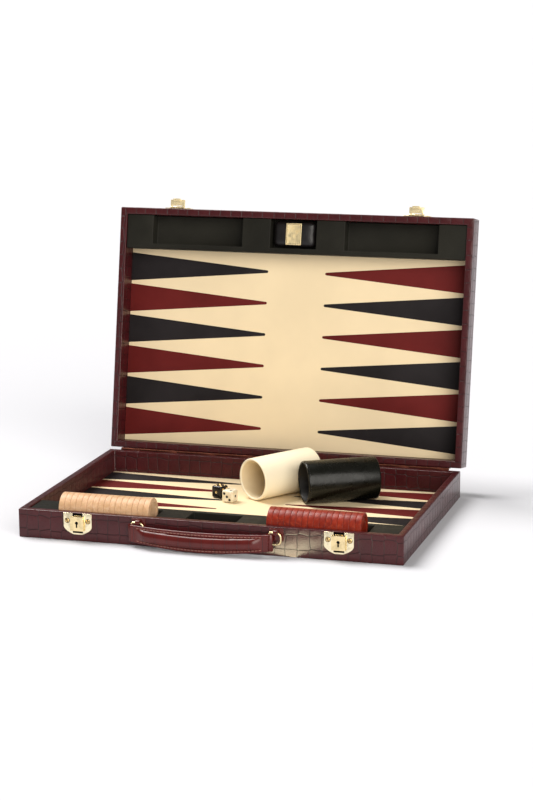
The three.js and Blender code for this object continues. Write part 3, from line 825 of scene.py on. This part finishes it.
# ---- the playing pieces -------------------------------------------------------------------------
def checker_bm():
    """A checker on its edge, with a sunk middle, a bead and a groove on both faces."""
    half, r = CHECKER_T / 2, CHECKER_R
    side = [
        (half - 0.7, 0), (half - 0.7, 10.4), (half - 0.35, 10.9), (half - 0.35, 11.6), (half - 0.9, 12.0),
        (half - 0.9, 12.8), (half - 0.1, 13.4), (half, 14.0), (half, r - 0.46), (half - 0.04, r - 0.25),
        (half - 0.13, r - 0.1), (half - 0.28, r - 0.02), (half - 0.46, r),
    ]
    return lathe([(-a, b) for a, b in side] + side[::-1])


for colour, look in (("cream", CREAM_RESIN), ("red", RED_RESIN)):
    for i in range(1, 17):
        node = f"{colour}_checker_{i:02d}"
        lo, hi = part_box(node)
        place = Matrix.Translation((lo + hi) / 2) @ Matrix.Rotation(0.7 * i, 4, "X")
        man = make(f"{colour}_man_{i:02d}", checker_bm(), look, node, place, angle=30)
        stand_for(node)


def on_board(x, y, lift, turn):
    """A place on the bottom board, lift above it, turned about Z by degrees."""
    spot = Matrix.Translation((x * MM, y * MM, (BOARD_Z + lift) * MM))
    return spot @ Matrix.Rotation(math.radians(turn), 4, "Z")


def cup(name, node, x, y, turn, looks, seams):
    """A leather cup lying on its side; seams are rings of stitches, at distances from its mouth."""
    inside = [
        (CUP_L - 4, 0), (CUP_L - 4, CUP_BORE - 1.5), (CUP_L - 5.5, CUP_BORE), (CUP_L / 2, CUP_BORE),
        (1.2, CUP_BORE),
    ]
    mouth = [
        (0.25, CUP_BORE + 0.55), (0.0, CUP_BORE + 1.1), (0.0, CUP_R - 1.1), (0.3, CUP_R - 0.45),
        (0.9, CUP_R - 0.1),
    ]
    outside = [
        (1.6, CUP_R), (CUP_L / 2, CUP_R), (CUP_L - 1.6, CUP_R), (CUP_L - 0.6, CUP_R - 0.3),
        (CUP_L - 0.1, CUP_R - 1.0), (CUP_L, CUP_R - 2.0), (CUP_L, CUP_R - 4), (CUP_L - 0.5, CUP_R - 5),
        (CUP_L - 0.5, 0),
    ]
    bm = lathe([*inside, *mouth, *outside], 96)
    for face in bm.faces:
        centre = face.calc_center_median() / MM
        lined = math.hypot(centre.y, centre.z) < CUP_BORE + 0.4 and 0.9 < centre.x < CUP_L - 2
        face.material_index = 1 if lined else 0
    for seam in seams:
        for k in range(CUP_STITCHES):
            start, end = (2 * math.pi * (k + share) / CUP_STITCHES for share in (0.15, 0.72))
            path = [
                Vector((seam, (CUP_R + out) * math.cos(a), (CUP_R + out) * math.sin(a)))
                for a, out in ((start, -0.2), ((start + end) / 2, -0.02), (end, -0.2))
            ]
            absorb(bm, wire(path, 0.3, 6), look=2)
    piece = make(name, bm, looks, node, on_board(x, y, CUP_R, turn))
    stand_for(node)


cup("cream_cup", "cream_dice_cup", -6.4, 49.6, 55.8, [CUP_CREAM, CUP_LINING, CUP_LINING], [])
cup("black_cup", "black_dice_cup", 57.3, 52.5, 31, [CUP_BLACK, DARK_LINING, DARK_THREAD], [2.6])

PIPS = {1: [(0, 0)], 2: [(-1, -1), (1, 1)], 4: [(-1, -1), (1, -1), (-1, 1), (1, 1)]}
PIPS[3] = [(-1, -1), (0, 0), (1, 1)]
PIPS[5] = [*PIPS[4], (0, 0)]
PIPS[6] = [*PIPS[4], (-1, 0), (1, 0)]
FACE_TURNS = [Matrix.Rotation(math.radians(a), 4, "Z") for a in (0, 90, 180, 270)]
FACE_TURNS += [Matrix.Rotation(math.radians(a), 4, "X") for a in (-90, 90)]


def die(name, node, x, y, turn, faces, look, ink):
    """A die with rounded edges and drilled, inked pips; faces are front, right, back, left, top, bottom."""
    half = DIE / 2
    side = about(0, half)
    piece = make(name, box_bm(side, side, side, DIE_ROUND, 6), [look, ink], node)
    spots = [
        way @ Vector((u * PIP_STEP * MM, (-half - PIP_OUT) * MM, -w * PIP_STEP * MM))
        for number, way in zip(faces, FACE_TURNS)
        for u, w in PIPS[number]
    ]
    drills = []
    for spot in spots:
        drill = bmesh.new()
        bmesh.ops.create_uvsphere(drill, u_segments=20, v_segments=12, radius=PIP_R * MM)
        drill.transform(Matrix.Translation(spot))
        drills.append(drill)
    carve(piece, drills)
    # A face is inked when all of its corners lie in one drilled hollow.
    points = [v.co for v in piece.data.vertices]
    for face in piece.data.polygons:
        far = min(max((points[i] - spot).length for i in face.vertices) for spot in spots)
        face.material_index = 1 if far < (PIP_R + 0.02) * MM else 0
    piece.data.transform(on_board(x, y, half, turn))
    shade(piece.data, 35)
    stand_for(node)


die("cream_die_cube", "cream_die", -31.6, 36.5, -12, (3, 1, 4, 6, 2, 5), IVORY, PIP_INK)
die("black_die_cube", "black_die", -49.7, 53.5, -20, (1, 4, 6, 3, 5, 2), BLACK_RESIN, PIP_GOLD)

# ---- floor, lights and camera -------------------------------------------------------------------
FLOOR_HALF = 40  # metres
floor_mesh = bpy.data.meshes.new("floor")
floor_corners = [(x * FLOOR_HALF, y * FLOOR_HALF, 0) for x, y in ((-1, -1), (1, -1), (1, 1), (-1, 1))]
floor_mesh.from_pydata(floor_corners, [], [(0, 1, 2, 3)])
floor = bpy.data.objects.new("floor", floor_mesh)
scene.collection.objects.link(floor)
floor_mesh.materials.append(Look("floor", (0.64, 0.65, 0.69), 0.9, spec=0.0).mat)


def studio():
    """A dim, even sky that the camera itself sees as plain white."""
    world = bpy.data.worlds.new("studio")
    scene.world = world
    world.use_nodes = True
    nodes, links = world.node_tree.nodes, world.node_tree.links
    sky, backdrop = nodes["Background"], nodes.new("ShaderNodeBackground")
    for background, strength in ((sky, 0.2), (backdrop, 1.05)):
        background.inputs["Color"].default_value = (1, 1, 1, 1)
        background.inputs["Strength"].default_value = strength
    choice = nodes.new("ShaderNodeMixShader")
    links.new(nodes.new("ShaderNodeLightPath").outputs["Is Camera Ray"], choice.inputs[0])
    links.new(sky.outputs[0], choice.inputs[1])
    links.new(backdrop.outputs[0], choice.inputs[2])
    links.new(choice.outputs[0], nodes["World Output"].inputs["Surface"])


def lamp(name, kind, place, power, colour):
    data = bpy.data.lights.new(name, kind)
    data.energy = power
    data.color = colour
    made = bpy.data.objects.new(name, data)
    scene.collection.objects.link(made)
    made.location = place
    return made


def sun(name, place, power, spread, colour):
    """A soft far light that shines from a place towards the origin; spread is in degrees."""
    made = lamp(name, "SUN", place, power, colour)
    made.data.angle = math.radians(spread)
    made.rotation_euler = (-Vector(place)).to_track_quat("-Z", "Y").to_euler()


def sheen_card(place, power, size, turn, colour, receiver):
    """A small card on the table in front, facing up, seen only as a sheen in one piece."""
    card = lamp("card", "AREA", place, power, colour)
    card.data.shape = "RECTANGLE"
    card.data.size, card.data.size_y = size
    card.rotation_euler = (math.pi, 0, math.radians(turn))
    card.visible_camera = False
    card.visible_diffuse = False
    receivers = bpy.data.collections.new("card_receivers")
    receivers.objects.link(bpy.data.objects[receiver])
    card.light_linking.receiver_collection = receivers


studio()
sun("overhead", (-1.3, 0.5, 2.2), 4.0, 35, (1, 0.97, 0.93))
sun("front_right", (1.8, -2.2, 1.2), 2.7, 50, (1, 0.96, 0.89))
sheen_card((0.1, -0.216, 0.0005), 0.25, (0.046, 0.12), 16, (0.96, 0.92, 0.6), "base_case")

# The camera's azimuth, elevation and roll, its place in metres, and its lens in millimetres.
AZ, EL, ROLL = math.radians(16.546), math.radians(13.940), math.radians(-0.394)
EYE = (0.7779, -2.5307, 0.7221)
LENS, SENSOR = 102.672, 36
eye = bpy.data.cameras.new("camera")
camera = bpy.data.objects.new("camera", eye)
scene.collection.objects.link(camera)
back = Vector((math.sin(AZ) * math.cos(EL), -math.cos(AZ) * math.cos(EL), math.sin(EL)))
right = Vector((math.cos(AZ), math.sin(AZ), 0))
above = back.cross(right)
turned_right = math.cos(ROLL) * right + math.sin(ROLL) * above
turned_above = -math.sin(ROLL) * right + math.cos(ROLL) * above
rotation = Matrix((turned_right, turned_above, back)).transposed().to_4x4()
camera.matrix_world = Matrix.Translation(EYE) @ rotation
eye.sensor_width = SENSOR
eye.sensor_fit = "AUTO"
eye.lens = LENS
eye.shift_y = 0.08
eye.clip_end = 50
scene.camera = camera
scene.view_settings.view_transform = "Standard"
